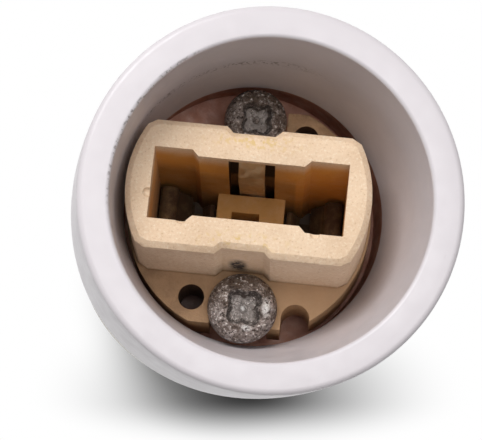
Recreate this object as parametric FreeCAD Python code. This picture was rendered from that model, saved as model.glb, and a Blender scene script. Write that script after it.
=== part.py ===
import FreeCAD, Part
import math
import os

os.makedirs("parts", exist_ok=True)

Vec = FreeCAD.Vector
up = Vec(0, 0, 1)

# Sizes are in millimetres. Z runs up out of the mouth, X along the bulb slot,
# and the origin is the lowest point of the tip, on the axis of the screw base.

# Whole adapter
overall_height = 51.0
body_height = 26.0

# White outer sleeve
rim_width = 2.5
rim_inner_round = 0.6
rim_outer_round = 0.5
shoulder_depth = 14.0
shoulder_inset = 0.15
base_inset = 0.9
base_bevel = 0.3
sleeve_wall = 1.2
hollow_rise = 0.3
throat_depth = 7.0
throat_taper = 0.85
skirt_depth = 13.7
skirt_overlap = 0.15
skirt_wall = 1.2

# Brown core moulding
pocket_clearance = 0.85
core_tube_wall = 1.45
hollow_clearance = 1.45
core_foot_height = 3.0
core_fit = 0.05
floor_thickness = 4.5
neck_wall = 1.9
neck_end_height = 10.5
snap_height = 0.25
snap_width = 1.0
boss_radius = 2.6
boss_drop = 2.0
boss_floor = 1.0
well_fit = 0.4

# Steatite socket, drawn about its own axis with the top of its flange at zero
flange_border = 0.2
flange_flat = 9.05
flange_thickness = 4.4
slot_end_wall = 2.0
block_half_width = 5.18
block_height = 8.65
block_corner_cut = 0.5
block_edge_cut = 0.3
slot_length = 15.4
slot_width = 5.8
slot_waist_width = 4.8
slot_waist_length = 9.4
slot_waist_step = 0.5
head_recess_flat = 3.3
head_recess_length = 4.4
head_recess_depth = 0.5
island_length = 5.55
island_depth = 11.35
island_hole_length = 2.3
island_hole_width = 1.9
island_hole_shift = -0.4
spring_channel_length = 3.7
spring_channel_depth = 1.0
spring_channel_lip = 0.7
back_end_wall = 1.2
back_half_width = 4.2
back_depth = 5.0
screw_slot_width = 4.7
screw_slot_shift = 0.3
wire_notch_width = 2.3
wire_notch_place = 4.55
wire_notch_reach = 6.85
flange_hole_diameter = 2.1
flange_hole_circle = 8.1
flange_hole_angle = 60.6
missing_corner_x = 2.1
missing_corner_y = 5.4

# Place of the socket in the cup: it leans on its flange edge
socket_depth = 13.1
socket_shift_x = -0.4
socket_shift_y = -0.18
socket_lean = 10.2
socket_lean_heading = 134.0
seat_clearance = 0.03

# Back plate of the socket
back_plate_thickness = 0.8
back_plate_border = 0.75
plate_fit = 0.05
tail_window_gap = 0.2

# Spring contacts
contact_thickness = 0.4
contact_width = 5.2
contact_inner_width = 3.6
contact_fold = 1.1
contact_bend = 0.5
contact_drop = 11.35
contact_wall_gap = 0.12
contact_grip_rise = 2.3
contact_flare = 0.5
contact_flare_drop = 1.4
contact_foot_gap = 0.35
contact_tip_gap = 0.1
contact_tip_rise = 1.7
pin_spacing = 9.0
pin_diameter = 0.8
contact_base_gap = 0.03
tail_width = 1.6
tail_length = 3.6
crimp_radius = 0.85
crimp_length = 3.0

# Bulb spring
spring_thickness = 0.3
spring_width = 2.1
spring_bow = 0.45
spring_top_gap = 0.3
spring_bend = 0.4
spring_wall_gap = 0.15
spring_base_gap = 0.02
spring_island_gap = 0.05
spring_crown_drop = 2.6
spring_crown_length = 1.6
spring_foot_rise = 1.2
spring_tip_lean = 0.35

# Mounting screws
screw_pitch = 15.6
screw_line_shift = -0.5
screw_line_turn = 1.3
screw_diameter = 2.9
screw_length = 10.0
screw_point = 1.2
screw_point_radius = 0.3
lower_head_diameter = 5.6
upper_head_diameter = 5.1
head_height_share = 0.38
head_side_share = 0.12
recess_span_share = 0.56
recess_arm_share = 0.19
recess_depth_share = 0.24
recess_floor_length = 0.5
recess_floor_width = 0.6
head_seat_gap = 0.02

# Screw base
thread_major_diameter = 26.3
thread_minor_diameter = 24.4
thread_pitch = 3.63
thread_runout = 1.8
thread_top_gap = 0.1
helix_around_count = 12
helix_turn_count = 5
shell_wall = 0.35
collar_diameter = 26.1
collar_height = 4.2
collar_slope = 0.6
shell_lip_radius = 9.5
shell_lip_height = 6.1
shell_cone_top = 8.4
lip_bevel = 0.1
rolled_step = 0.02
neck_fit = 0.06
punch_count = 8
punch_radius = 1.3
punch_depth = 0.45
punch_drop = 2.1
glass_face_radius = 5.9
glass_face_height = 1.2
glass_bulge_radius = 7.9
glass_bulge_height = 4.1
glass_seat_border = 0.4
glass_seat_rise = 0.2
glass_top_height = 8.0
glass_bore_radius = 1.5
tip_radius = 5.0
tip_bevel = 0.3
tip_thickness = 0.4
tip_height = 0.35
tip_tube_wall = 0.3
tip_tube_length = 4.4
solder_radius = 2.3
solder_fill = 1.6

# Internal leads
lead_core_diameter = 0.9
lead_sleeve_diameter = 2.0
lead_bend_share = 0.45
lead_groove_gap = 0.12
lead_pinch_rise = 5.2
lead_in_crimp = 2.6
lead_drop = 2.9
lead_turn_gap = 0.5
lead_wall_gap = 1.6
lead_press = 0.04
shell_lead_rise_share = 0.38
centre_lead_side_share = 0.44
centre_lead_turn_share = 0.36
centre_lead_end_share = 0.69
sleeve_crimp_gap = 0.2
sleeve_end_share = 0.4
sleeve_glass_gap = 0.8

# Radii worked out from the slot outwards: block, flange, pocket, core, sleeve
block_radius = slot_length / 2 + slot_end_wall
back_radius = slot_length / 2 + back_end_wall
flange_radius = block_radius + flange_border
pocket_radius = flange_radius + pocket_clearance
core_tube_radius = pocket_radius + core_tube_wall
shoulder_radius = core_tube_radius + hollow_clearance + sleeve_wall
rim_outer_radius = shoulder_radius + shoulder_inset
rim_inner_radius = rim_outer_radius - rim_width
throat_radius = rim_inner_radius - throat_taper
skirt_radius = pocket_radius - skirt_overlap
base_outer_radius = rim_outer_radius - base_inset

# Heights worked out from the sizes above
mouth_z = overall_height
body_base_z = overall_height - body_height
skirt_z = mouth_z - skirt_depth
throat_z = mouth_z - throat_depth
socket_z = mouth_z - socket_depth
lean_angle = math.radians(socket_lean)
lean_heading = math.radians(socket_lean_heading)
back_end = -flange_thickness - back_depth
plate_top = back_end + back_plate_thickness
island_top = block_height - island_depth
lean_drop = flange_thickness * math.cos(lean_angle) + flange_radius * math.sin(lean_angle)
floor_z = socket_z - lean_drop - seat_clearance
cavity_top_z = floor_z - floor_thickness
collar_radius = collar_diameter / 2
collar_z = body_base_z - collar_height
thread_top_z = collar_z - collar_slope - thread_top_gap
thread_length = thread_top_z - shell_cone_top
thread_mean_radius = (thread_major_diameter + thread_minor_diameter) / 4
thread_height = (thread_major_diameter - thread_minor_diameter) / 4
neck_radius = thread_minor_diameter / 2 - shell_wall - neck_fit
neck_collar_radius = collar_radius - shell_wall - neck_fit


def outline(start, *steps):
    """Closed wire in the XZ plane: a step is a point, or an arc's middle and end."""
    edges = []
    here = Vec(start[0], 0, start[1])
    first = here
    for step in steps:
        if isinstance(step[0], tuple):
            middle = Vec(step[0][0], 0, step[0][1])
            there = Vec(step[1][0], 0, step[1][1])
            edges.append(Part.Arc(here, middle, there).toShape())
        else:
            there = Vec(step[0], 0, step[1])
            edges.append(Part.LineSegment(here, there).toShape())
        here = there
    if here.distanceToPoint(first) > 1e-6:
        edges.append(Part.LineSegment(here, first).toShape())
    return Part.Wire(edges)


def turned(start, *steps):
    """Solid of revolution about Z from an outline of (radius, height) steps."""
    face = Part.Face(outline(start, *steps))
    return face.revolve(Vec(0, 0, 0), up, 360)


def corner_arc(centre, radius, from_degrees, to_degrees):
    """Middle and end of an arc, as one step of an outline."""
    middle = math.radians((from_degrees + to_degrees) / 2)
    end = math.radians(to_degrees)
    place = [(centre[0] + radius * math.cos(a), centre[1] + radius * math.sin(a)) for a in (middle, end)]
    return (place[0], place[1])


def cylinder(radius, bottom, top, x=0.0, y=0.0):
    return Part.makeCylinder(radius, top - bottom, Vec(x, y, bottom), up)


def block(length, width, bottom, top, x=0.0, y=0.0):
    corner = Vec(x - length / 2, y - width / 2, bottom)
    return Part.makeBox(length, width, top - bottom, corner)


def prism(points, bottom, top):
    """Straight prism on a closed outline of (x, y) points."""
    corners = [Vec(x, y, bottom) for x, y in points]
    face = Part.Face(Part.makePolygon(corners + corners[:1]))
    return face.extrude(Vec(0, 0, top - bottom))


def half_turn(shape):
    other = shape.copy()
    other.rotate(Vec(0, 0, 0), up, 180)
    return other


def rounded_path(points, radii):
    """Edges of straight runs joined by tangent arcs."""
    edges = []
    here = points[0]
    for before, corner, after, radius in zip(points, points[1:], points[2:], radii):
        back = (before - corner).normalize()
        ahead = (after - corner).normalize()
        half = back.getAngle(ahead) / 2
        reach = radius / math.tan(half)
        leave = corner + back * reach
        join = corner + ahead * reach
        bisector = (back + ahead).normalize()
        middle = corner + bisector * (radius / math.sin(half) - radius)
        edges.append(Part.LineSegment(here, leave).toShape())
        edges.append(Part.Arc(leave, middle, join).toShape())
        here = join
    edges.append(Part.LineSegment(here, points[-1]).toShape())
    return edges


def bent_strip(path, bend, thickness, width):
    """Sheet strip of one thickness that follows a path of (x, z) points, centred on Y."""
    points = [Vec(x, 0, z) for x, z in path]
    spine = Part.Wire(rounded_path(points, [bend] * (len(points) - 2)))
    along = (points[1] - points[0]).normalize()
    across = along.cross(Vec(0, 1, 0)) * (thickness / 2)
    side = Vec(0, width / 2, 0)
    start = points[0]
    corners = [start + across + side, start - across + side, start - across - side, start + across - side]
    section = Part.makePolygon(corners + corners[:1])
    return spine.makePipeShell([section], True, False)


def in_cup(shape):
    """Moves a socket piece from its own axis to its leaning place in the cup."""
    placed = shape.copy()
    tilt_axis = Vec(-math.sin(lean_heading), math.cos(lean_heading), 0)
    placed.rotate(Vec(0, 0, 0), tilt_axis, socket_lean)
    placed.translate(Vec(socket_shift_x, socket_shift_y, socket_z))
    return placed


def point_in_cup(x, y, z):
    return in_cup(Part.Vertex(x, y, z)).Point


# White outer sleeve
def make_outer_sleeve():
    rim_start = (rim_inner_radius, mouth_z - rim_inner_round)
    rim_inner = corner_arc((rim_inner_radius + rim_inner_round, mouth_z - rim_inner_round),
                           rim_inner_round, 180, 90)
    rim_outer = corner_arc((rim_outer_radius - rim_outer_round, mouth_z - rim_outer_round),
                           rim_outer_round, 90, 0)
    hollow_outer = shoulder_radius - sleeve_wall
    hollow_inner = throat_radius + skirt_wall
    shell = turned(
        rim_start,
        rim_inner,
        (rim_outer_radius - rim_outer_round, mouth_z),
        rim_outer,
        ((shoulder_radius, mouth_z - shoulder_depth), (base_outer_radius, body_base_z + base_bevel)),
        (base_outer_radius - base_bevel, body_base_z),
        (base_outer_radius - sleeve_wall, body_base_z),
        (base_outer_radius - sleeve_wall, body_base_z + core_foot_height),
        (hollow_outer, skirt_z),
        (hollow_outer, throat_z + hollow_rise),
        (hollow_inner, throat_z + hollow_rise),
        (skirt_radius + skirt_wall, skirt_z),
        (skirt_radius, skirt_z),
        (throat_radius, throat_z),
    )
    return shell.cut(snap_ring(base_outer_radius - sleeve_wall, snap_height))


def snap_ring(radius, height):
    """Low ring with two sloping sides that holds the sleeve on the core's foot."""
    middle = body_base_z + core_foot_height / 2
    return turned(
        (radius - 1, middle - snap_width / 2),
        (radius, middle - snap_width / 2),
        (radius + height, middle),
        (radius, middle + snap_width / 2),
        (radius - 1, middle + snap_width / 2),
    )


# Brown core moulding with the pocket, the two bosses and the neck of the screw base
def make_core_moulding():
    foot_radius = base_outer_radius - sleeve_wall - core_fit
    neck_inner = neck_radius - neck_wall
    core = turned(
        (0, cavity_top_z),
        (neck_inner, cavity_top_z),
        (neck_inner, neck_end_height),
        (neck_radius, neck_end_height),
        (neck_radius, collar_z - collar_slope),
        (neck_collar_radius, collar_z),
        (neck_collar_radius, body_base_z),
        (foot_radius, body_base_z),
        (foot_radius, body_base_z + core_foot_height),
        (core_tube_radius, body_base_z + core_foot_height),
        (core_tube_radius, skirt_z),
        (pocket_radius, skirt_z),
        (pocket_radius, floor_z),
        (0, floor_z),
    )
    core = core.fuse(snap_ring(foot_radius, snap_height))
    boss_end = cavity_top_z - boss_drop
    for side in (-1, 1):
        core = core.fuse(cylinder(boss_radius, boss_end, floor_z - 1, *screw_place(side)))
    core = core.cut(in_cup(socket_well()))
    for side in (-1, 1):
        core = core.cut(cylinder(screw_diameter / 2, boss_end + boss_floor, floor_z + 1, *screw_place(side)))
    core = core.cut(lead_groove())
    for punch in punches(punch_radius + shell_wall + neck_fit):
        core = core.cut(punch)
    return core.removeSplitter()


def socket_well():
    """Room for the socket's back in the floor, larger than the back all round."""
    bottom = back_end - 2 * back_depth
    outer = cylinder(back_radius + well_fit, bottom, 0)
    band = block(4 * back_radius, 2 * (back_half_width + well_fit), bottom, -flange_thickness + 1)
    return outer.common(band)


def lead_groove():
    """Groove outside the neck where the side lead is pinched against the shell."""
    size = lead_core_diameter + 2 * lead_groove_gap
    top = neck_end_height + lead_pinch_rise
    return block(2 * size, size, neck_end_height - 1, top, neck_radius + lead_groove_gap, 0)


# Steatite socket
def slot_outline():
    end = slot_length / 2
    waist = slot_waist_length / 2
    step = waist - slot_waist_step
    wide = slot_width / 2
    narrow = slot_waist_width / 2
    upper = [(-end, wide), (-waist, wide), (-step, narrow), (step, narrow), (waist, wide), (end, wide)]
    lower = [(-x, -y) for x, y in upper]
    return upper + lower


def head_recess(side):
    """Shallow bay in a long side of the block that clears a screw head."""
    outer = block_half_width + 1
    inner = block_half_width - head_recess_depth
    flat = head_recess_flat / 2
    half = head_recess_length / 2
    slope = half + (half - flat) / head_recess_depth
    points = [(-slope, outer), (-flat, inner), (flat, inner), (slope, outer)]
    return prism([(x, side * y) for x, y in points], 0, block_height + 1)


def make_socket_block():
    """Front block: a drum with two flat sides, cut corners and a screw-head bay in each side."""
    drum = cylinder(block_radius, -1, block_height)
    band = block(4 * block_radius, 2 * block_half_width, -1, block_height)
    front = drum.common(band)
    corners = [e for e in front.Edges
               if abs(e.BoundBox.ZLength - block_height - 1) < 1e-6
               and abs(abs(e.CenterOfMass.y) - block_half_width) < 1e-6]
    front = front.makeChamfer(block_corner_cut, corners)
    for side in (-1, 1):
        front = front.cut(head_recess(side))
    front_face = max(front.Faces, key=lambda f: f.CenterOfMass.z)
    return front.makeChamfer(block_edge_cut, front_face.OuterWire.Edges)


def make_socket_flange():
    disc = cylinder(flange_radius, -flange_thickness, 0)
    band = block(4 * flange_radius, 2 * flange_flat, -flange_thickness, 0)
    flange = disc.common(band)
    bottom = -flange_thickness - 1
    for side in (-1, 1):
        slot_end = side * (screw_pitch / 2 - screw_slot_shift)
        screw_slot = cylinder(screw_slot_width / 2, bottom, 1, 0, slot_end)
        mouth = block(screw_slot_width, flange_radius, bottom, 1, 0, slot_end + side * flange_radius / 2)
        flange = flange.cut(screw_slot.fuse(mouth))
        notch_end = side * (wire_notch_reach + wire_notch_width / 2)
        notch_x = -side * wire_notch_place
        notch = cylinder(wire_notch_width / 2, bottom, 1, notch_x, notch_end)
        notch_mouth = block(wire_notch_width, flange_radius, bottom, 1,
                            notch_x, notch_end + side * flange_radius / 2)
        flange = flange.cut(notch.fuse(notch_mouth))
        hole_x = side * flange_hole_circle * math.cos(math.radians(flange_hole_angle))
        hole_y = side * flange_hole_circle * math.sin(math.radians(flange_hole_angle))
        flange = flange.cut(cylinder(flange_hole_diameter / 2, bottom, 1, hole_x, hole_y))
    return flange.cut(missing_corner(bottom))


def missing_corner(bottom):
    """Corner that the flange lacks beside one screw, down to the block's side."""
    reach = 2 * flange_radius
    return block(reach, reach, bottom, 1, -missing_corner_x - reach / 2, missing_corner_y + reach / 2)


def make_socket_back():
    drum = cylinder(back_radius, back_end, -flange_thickness + 1)
    band = block(4 * back_radius, 2 * back_half_width, back_end, -flange_thickness + 1)
    return drum.common(band)


def back_plate_outline(gap):
    drum = cylinder(back_radius - back_plate_border - gap, back_end, plate_top)
    half_width = back_half_width - back_plate_border - gap
    return drum.common(block(4 * back_radius, 2 * half_width, back_end, plate_top))


def make_socket_body():
    body = make_socket_block().fuse(make_socket_flange()).fuse(make_socket_back())
    slot = prism(slot_outline(), back_end - 1, block_height + 1)
    island_end = plate_top + spring_thickness + spring_island_gap
    island = block(island_length, slot_width + 2, island_end, island_top)
    slot = slot.cut(island)
    channel_width = slot_waist_width + 2 * spring_channel_depth
    channel = block(spring_channel_length, channel_width, back_end - 1, block_height - spring_channel_lip)
    island_core = block(spring_channel_length + 1, slot_waist_width, island_end, island_top)
    channel = channel.cut(island_core)
    hole = block(island_hole_length, island_hole_width, back_end - 1, island_top + 1, island_hole_shift)
    body = body.cut(slot).cut(channel).cut(hole)
    body = body.cut(back_plate_outline(0))
    return body.removeSplitter()


def make_back_plate():
    plate = back_plate_outline(plate_fit)
    window_length = 3 * contact_thickness
    window_width = tail_width + 2 * tail_window_gap
    window = block(window_length, window_width, back_end - 1, plate_top + 1, tail_place())
    return plate.cut(window).cut(half_turn(window))


# Spring contacts: a folded leaf outside the pin and a rising leaf inside it
def tail_place():
    return slot_length / 2 - contact_wall_gap - contact_thickness / 2


def make_contact():
    half = contact_thickness / 2
    outer = tail_place()
    top = block_height - contact_drop - half
    base = plate_top + contact_base_gap + half
    inner = outer - contact_fold
    pin = pin_spacing / 2
    grip_out = pin + pin_diameter / 2 + half
    grip_in = pin - pin_diameter / 2 - half
    grip_height = base + contact_grip_rise
    island_side = island_length / 2 + contact_wall_gap + half
    path = [
        (grip_out + contact_flare, grip_height - contact_flare_drop),
        (grip_out, grip_height),
        (inner, top - contact_fold),
        (inner, top),
        (outer, top),
        (outer, base),
        (island_side + contact_foot_gap, base),
        (grip_in, grip_height),
        (island_side + contact_tip_gap, grip_height + contact_tip_rise),
    ]
    leaf = bent_strip(path, contact_bend, contact_thickness, contact_width)
    wide_start = (slot_waist_length + contact_thickness) / 2
    wide = block(slot_length, contact_width, plate_top, top + 1, wide_start + slot_length / 2)
    narrow = block(wide_start, contact_inner_width, plate_top, top + 1, wide_start / 2)
    leaf = leaf.common(wide.fuse(narrow))
    tail = block(contact_thickness, tail_width, back_end - tail_length, base, outer)
    barrel_x = crimp_place()
    barrel_top = back_end - tail_length + crimp_length
    barrel = cylinder(crimp_radius, back_end - tail_length, barrel_top, barrel_x)
    clip = leaf.fuse(tail).fuse(barrel)
    bore = cylinder(lead_core_diameter / 2, back_end - tail_length - 1, barrel_top + 1, barrel_x)
    return clip.cut(bore).removeSplitter()


def crimp_place():
    return tail_place() - crimp_radius


# Bulb spring: one strip under the island with a bowed leg in each long wall
def make_bulb_spring():
    half = spring_thickness / 2
    base = plate_top + half + spring_base_gap
    foot = slot_waist_width / 2 + half + spring_wall_gap
    crown = slot_waist_width / 2 + half - spring_bow
    top = block_height - spring_channel_lip - spring_top_gap
    crown_top = top - spring_crown_drop
    side = [
        (foot + spring_tip_lean, top),
        (crown, crown_top),
        (crown, crown_top - spring_crown_length),
        (foot, island_top + spring_foot_rise),
        (foot, base),
    ]
    path = side + [(-x, z) for x, z in reversed(side)]
    strip = bent_strip(path, spring_bend, spring_thickness, spring_width)
    strip.rotate(Vec(0, 0, 0), up, 90)
    return strip


# Mounting screws
def screw_place(side):
    """Plan position of a screw on its slightly turned line."""
    reach = side * screw_pitch / 2
    turn = math.radians(screw_line_turn)
    return screw_line_shift - reach * math.sin(turn), reach * math.cos(turn)


def over_flange(x, y, side):
    """Whether the flange lies under a point of the socket's plan near a screw slot."""
    slot_end = screw_pitch / 2 - screw_slot_shift
    before_end = max(0.0, slot_end - side * y)
    in_slot = math.hypot(x, before_end) < screw_slot_width / 2
    return abs(y) < flange_flat and not in_slot


def head_seat(side, radius):
    """Height at which the flat underside of a head first meets the leaning flange."""
    seat = 0.0
    centre_x, centre_y = screw_place(side)
    for ring in range(1, 11):
        for degrees in range(360):
            angle = math.radians(degrees)
            x = centre_x - socket_shift_x + radius * ring / 10 * math.cos(angle)
            y = centre_y - socket_shift_y + radius * ring / 10 * math.sin(angle)
            along = x * math.cos(lean_heading) + y * math.sin(lean_heading)
            if over_flange(x, y, side):
                seat = max(seat, socket_z - along * math.tan(lean_angle))
    return seat + head_seat_gap


def make_screw(side, head_diameter):
    radius = head_diameter / 2
    height = head_diameter * head_height_share
    edge = head_diameter * head_side_share
    seat = head_seat(side, radius)

    def on_dome(share):
        return radius * share, seat + edge + (height - edge) * math.sqrt(1 - share ** 2)

    screw = turned(
        (0, seat + height),
        (on_dome(0.4), on_dome(0.75)),
        (on_dome(0.95), (radius, seat + edge)),
        (radius, seat),
        (screw_diameter / 2, seat),
        (screw_diameter / 2, seat - screw_length + screw_point),
        (screw_point_radius, seat - screw_length),
        (0, seat - screw_length),
    )
    deep = head_diameter * recess_depth_share
    arm = head_diameter * recess_arm_share / 2
    span = head_diameter * recess_span_share / 2
    floor = seat + height - deep
    for turn in (45, 135):
        wing = tapered_wing(span, arm, floor, seat + height + 0.1)
        wing.rotate(Vec(0, 0, 0), up, turn)
        screw = screw.cut(wing)
    screw.translate(Vec(*screw_place(side), 0))
    return screw


def tapered_wing(span, arm, bottom, top):
    """One bar of the cross recess, narrower and shorter at its floor."""
    high = [(-span, -arm), (span, -arm), (span, arm), (-span, arm)]
    low = [(recess_floor_length * x, recess_floor_width * y) for x, y in high]
    sections = []
    for points, height in ((low, bottom), (high, top)):
        corners = [Vec(x, y, height) for x, y in points]
        sections.append(Part.makePolygon(corners + corners[:1]))
    return Part.makeLoft(sections, True, True)


# Screw shell: thin and rolled, with a rounded right-hand thread that runs in and out
def thread_wave(height, angle):
    """Rise or fall of the rolled skin, as a share of the thread's height, above the thread's start."""
    near_end = min(height, thread_length - height)
    swell = 0.5 - 0.5 * math.cos(math.pi * min(1.0, near_end / thread_runout))
    return swell * math.cos(2 * math.pi * height / thread_pitch - angle)


def pole_pull(steps_per_turn):
    """How far outside a round curve its control points lie, as a factor on the curve's radius."""
    return 3 / (2 + math.cos(2 * math.pi / steps_per_turn))


def threaded_rod(mean_radius):
    """Solid rod whose skin is one smooth closed surface, with a control point for each step of the helix."""
    around = helix_around_count
    turns = thread_length / thread_pitch
    spans = int(helix_turn_count * turns)
    knots = [0, 0, 0] + list(range(spans + 1)) + [spans] * 3
    crest = thread_height * pole_pull(spans / turns)
    poles = []
    for i in range(around):
        angle = 2 * math.pi * (i - 1) / around
        row = []
        for j in range(spans + 3):
            height = thread_length * sum(knots[j + 1:j + 4]) / 3 / spans
            r = pole_pull(around) * (mean_radius + crest * thread_wave(height, angle))
            row.append(Vec(r * math.cos(angle), r * math.sin(angle), shell_cone_top + height))
        poles.append(row)
    surface = Part.BSplineSurface()
    surface.buildFromPolesMultsKnots(poles, [1] * (around + 1), [4] + [1] * (spans - 1) + [4],
                                     list(range(around + 1)), list(range(spans + 1)), True, False, 3, 3)
    skin = surface.toShape().Faces[0]
    ends = [Part.Face(Part.Wire(edge)) for edge in skin.Edges if edge.Closed]
    closed = Part.makeCompound([skin] + ends)
    closed.sewShape(1e-5)
    rod = Part.Solid(closed.Shells[0])
    if rod.Volume < 0:
        rod.reverse()
    return rod


def make_screw_shell():
    skin = thread_mean_radius
    bore = thread_mean_radius - shell_wall
    outer = skin + rolled_step
    inner = bore - rolled_step
    collar_bore = collar_radius - shell_wall
    thread = threaded_rod(skin).cut(threaded_rod(bore))
    cone = turned(
        (outer, shell_cone_top),
        (shell_lip_radius, shell_lip_height),
        (shell_lip_radius - lip_bevel, shell_lip_height + shell_wall),
        (inner, shell_cone_top),
    )
    collar = turned(
        (outer, thread_top_z),
        (outer, collar_z - collar_slope),
        (collar_radius, collar_z),
        (collar_radius, body_base_z),
        (collar_bore, body_base_z),
        (collar_bore, collar_z),
        (inner, collar_z - collar_slope),
        (inner, thread_top_z),
    )
    shell = thread.fuse([cone, collar])
    keep = cylinder(collar_radius, collar_z, body_base_z)
    for outside, inside in zip(punches(punch_radius + shell_wall), punches(punch_radius)):
        shell = shell.fuse(outside.common(keep)).cut(inside)
    return shell


def punches(radius):
    """Balls whose marks lock the shell's collar to the neck."""
    height = body_base_z - punch_drop
    distance = collar_radius + punch_radius - punch_depth
    balls = []
    for step in range(punch_count):
        angle = math.radians(360 * (step + 0.5) / punch_count)
        balls.append(Part.makeSphere(radius, Vec(distance * math.cos(angle), distance * math.sin(angle), height)))
    return balls


# Glass, tip contact and solder
def make_shell_insulator():
    inner = thread_mean_radius - shell_wall - rolled_step
    lip_inner = shell_lip_radius - lip_bevel
    slope = (inner - lip_inner) / (shell_cone_top - shell_lip_height - shell_wall)
    top_radius = lip_inner + slope * (glass_top_height - shell_lip_height - shell_wall)
    tip_seat = tip_height + tip_thickness
    return turned(
        (glass_bore_radius, tip_seat),
        (tip_radius, tip_seat),
        (tip_radius + glass_seat_border, tip_height + glass_seat_rise),
        (glass_face_radius, glass_face_height),
        ((glass_bulge_radius, glass_bulge_height), (shell_lip_radius, shell_lip_height)),
        (lip_inner, shell_lip_height + shell_wall),
        (top_radius, glass_top_height),
        (glass_bore_radius, glass_top_height),
    )


def make_tip_contact():
    tube_top = tip_height + tip_tube_length
    bore = glass_bore_radius - tip_tube_wall
    return turned(
        (bore, tip_height),
        (tip_radius - tip_bevel, tip_height),
        (tip_radius, tip_height + tip_thickness),
        (glass_bore_radius, tip_height + tip_thickness),
        (glass_bore_radius, tube_top),
        (bore, tube_top),
    )


def make_tip_solder():
    bore = glass_bore_radius - tip_tube_wall
    dome_radius = (solder_radius ** 2 + tip_height ** 2) / (2 * tip_height)
    half = math.asin(solder_radius / dome_radius) / 2
    dome_middle = (dome_radius * math.sin(half), dome_radius * (1 - math.cos(half)))
    return turned(
        (0, 0),
        (dome_middle, (solder_radius, tip_height)),
        (bore, tip_height),
        (bore, tip_height + solder_fill),
        (0, tip_height + solder_fill),
    )


# Internal leads, from the crimps down to the tip and to the shell
def lead_points(side):
    crimp_end = back_end - tail_length
    top = point_in_cup(side * crimp_place(), 0, crimp_end + lead_in_crimp)
    leave = point_in_cup(side * crimp_place(), 0, crimp_end - lead_drop)
    if side < 0:
        fall = leave.z - glass_top_height
        turn = Vec(centre_lead_side_share * leave.x, 0, leave.z - centre_lead_turn_share * fall)
        straight = Vec(0, 0, leave.z - centre_lead_end_share * fall)
        return [top, leave, turn, straight, Vec(0, 0, tip_height + solder_fill)]
    pinch_radius = neck_radius - lead_core_diameter / 2 + lead_press
    turn_z = neck_end_height - lead_core_diameter / 2 - lead_turn_gap
    rise = shell_lead_rise_share * (leave.z - turn_z)
    inside = neck_radius - neck_wall - lead_wall_gap
    return [
        top,
        leave,
        Vec(inside, 0, turn_z + rise),
        Vec(inside, 0, turn_z),
        Vec(pinch_radius, 0, turn_z),
        Vec(pinch_radius, 0, turn_z + lead_pinch_rise),
    ]


def lead_radii(points):
    """Bend radii as large as the shorter run beside each corner allows."""
    radii = []
    for before, corner, after in zip(points, points[1:], points[2:]):
        run = min(before.distanceToPoint(corner), after.distanceToPoint(corner))
        turn = math.pi - (before - corner).getAngle(after - corner)
        radii.append(lead_bend_share * run / math.tan(turn / 2))
    return radii


def round_section(diameter, bore, place, along):
    """Disc, or ring where there is a bore, square to a direction."""
    disc = Part.Face(Part.Wire(Part.makeCircle(diameter / 2, place, along)))
    if bore == 0:
        return disc
    return disc.cut(Part.Face(Part.Wire(Part.makeCircle(bore / 2, place, along)))).Faces[0]


def round_bar(points, radii, diameter, bore=0):
    """Round bar or tube along straight runs joined by tangent arcs."""
    lengths = []
    here = points[0]
    section = round_section(diameter, bore, here, points[1] - here)
    for before, corner, after, radius in zip(points, points[1:], points[2:], radii):
        back = (before - corner).normalize()
        ahead = (after - corner).normalize()
        half = back.getAngle(ahead) / 2
        centre = corner + (back + ahead).normalize() * (radius / math.sin(half))
        axis = ahead.cross(back)
        turn = 180 - 2 * math.degrees(half)
        run = corner + back * (radius / math.tan(half)) - here
        lengths.append(section.extrude(run))
        section.translate(run)
        lengths.append(section.revolve(centre, axis, turn))
        section.rotate(centre, axis, turn)
        here = corner + ahead * (radius / math.tan(half))
    lengths.append(section.extrude(points[-1] - here))
    return lengths[0].fuse(lengths[1:])


def make_lead(side):
    points = lead_points(side)
    radii = lead_radii(points)
    core = round_bar(points, radii, lead_core_diameter)
    first = (points[1] - points[0]).normalize()
    sleeve_start = points[0] + first * (lead_in_crimp + sleeve_crimp_gap)
    if side < 0:
        sleeve_end = Vec(0, 0, glass_top_height + sleeve_glass_gap)
        sleeved = [sleeve_start] + points[1:-1] + [sleeve_end]
        sleeved_radii = radii
    else:
        sleeve_end = points[3] + (points[2] - points[3]) * sleeve_end_share
        sleeved = [sleeve_start, points[1], points[2], sleeve_end]
        sleeved_radii = radii[:2]
    return core, round_bar(sleeved, sleeved_radii, lead_sleeve_diameter, lead_core_diameter)


lead_centre_core, lead_centre_sleeve = make_lead(-1)
lead_shell_core, lead_shell_sleeve = make_lead(1)

pieces = {
    "outer_sleeve": make_outer_sleeve(),
    "core_moulding": make_core_moulding(),
    "socket_body": in_cup(make_socket_body()),
    "socket_back_plate": in_cup(make_back_plate()),
    "contact_left": in_cup(half_turn(make_contact())),
    "contact_right": in_cup(make_contact()),
    "bulb_spring": in_cup(make_bulb_spring()),
    "mounting_screw_lower": make_screw(-1, lower_head_diameter),
    "mounting_screw_upper": make_screw(1, upper_head_diameter),
    "screw_shell": make_screw_shell(),
    "shell_insulator": make_shell_insulator(),
    "tip_contact": make_tip_contact(),
    "tip_solder": make_tip_solder(),
    "lead_centre_core": lead_centre_core,
    "lead_centre_sleeve": lead_centre_sleeve,
    "lead_shell_core": lead_shell_core,
    "lead_shell_sleeve": lead_shell_sleeve,
}

for name, shape in pieces.items():
    shape.exportStep("parts/" + name + ".step")
    print(name, shape.ShapeType, "solids", len(shape.Solids), "valid", shape.isValid(),
          "volume", round(shape.Volume, 2), "z", round(shape.BoundBox.ZMin, 2), round(shape.BoundBox.ZMax, 2))
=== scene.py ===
import math
import bpy
from mathutils import Matrix, Vector


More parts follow.
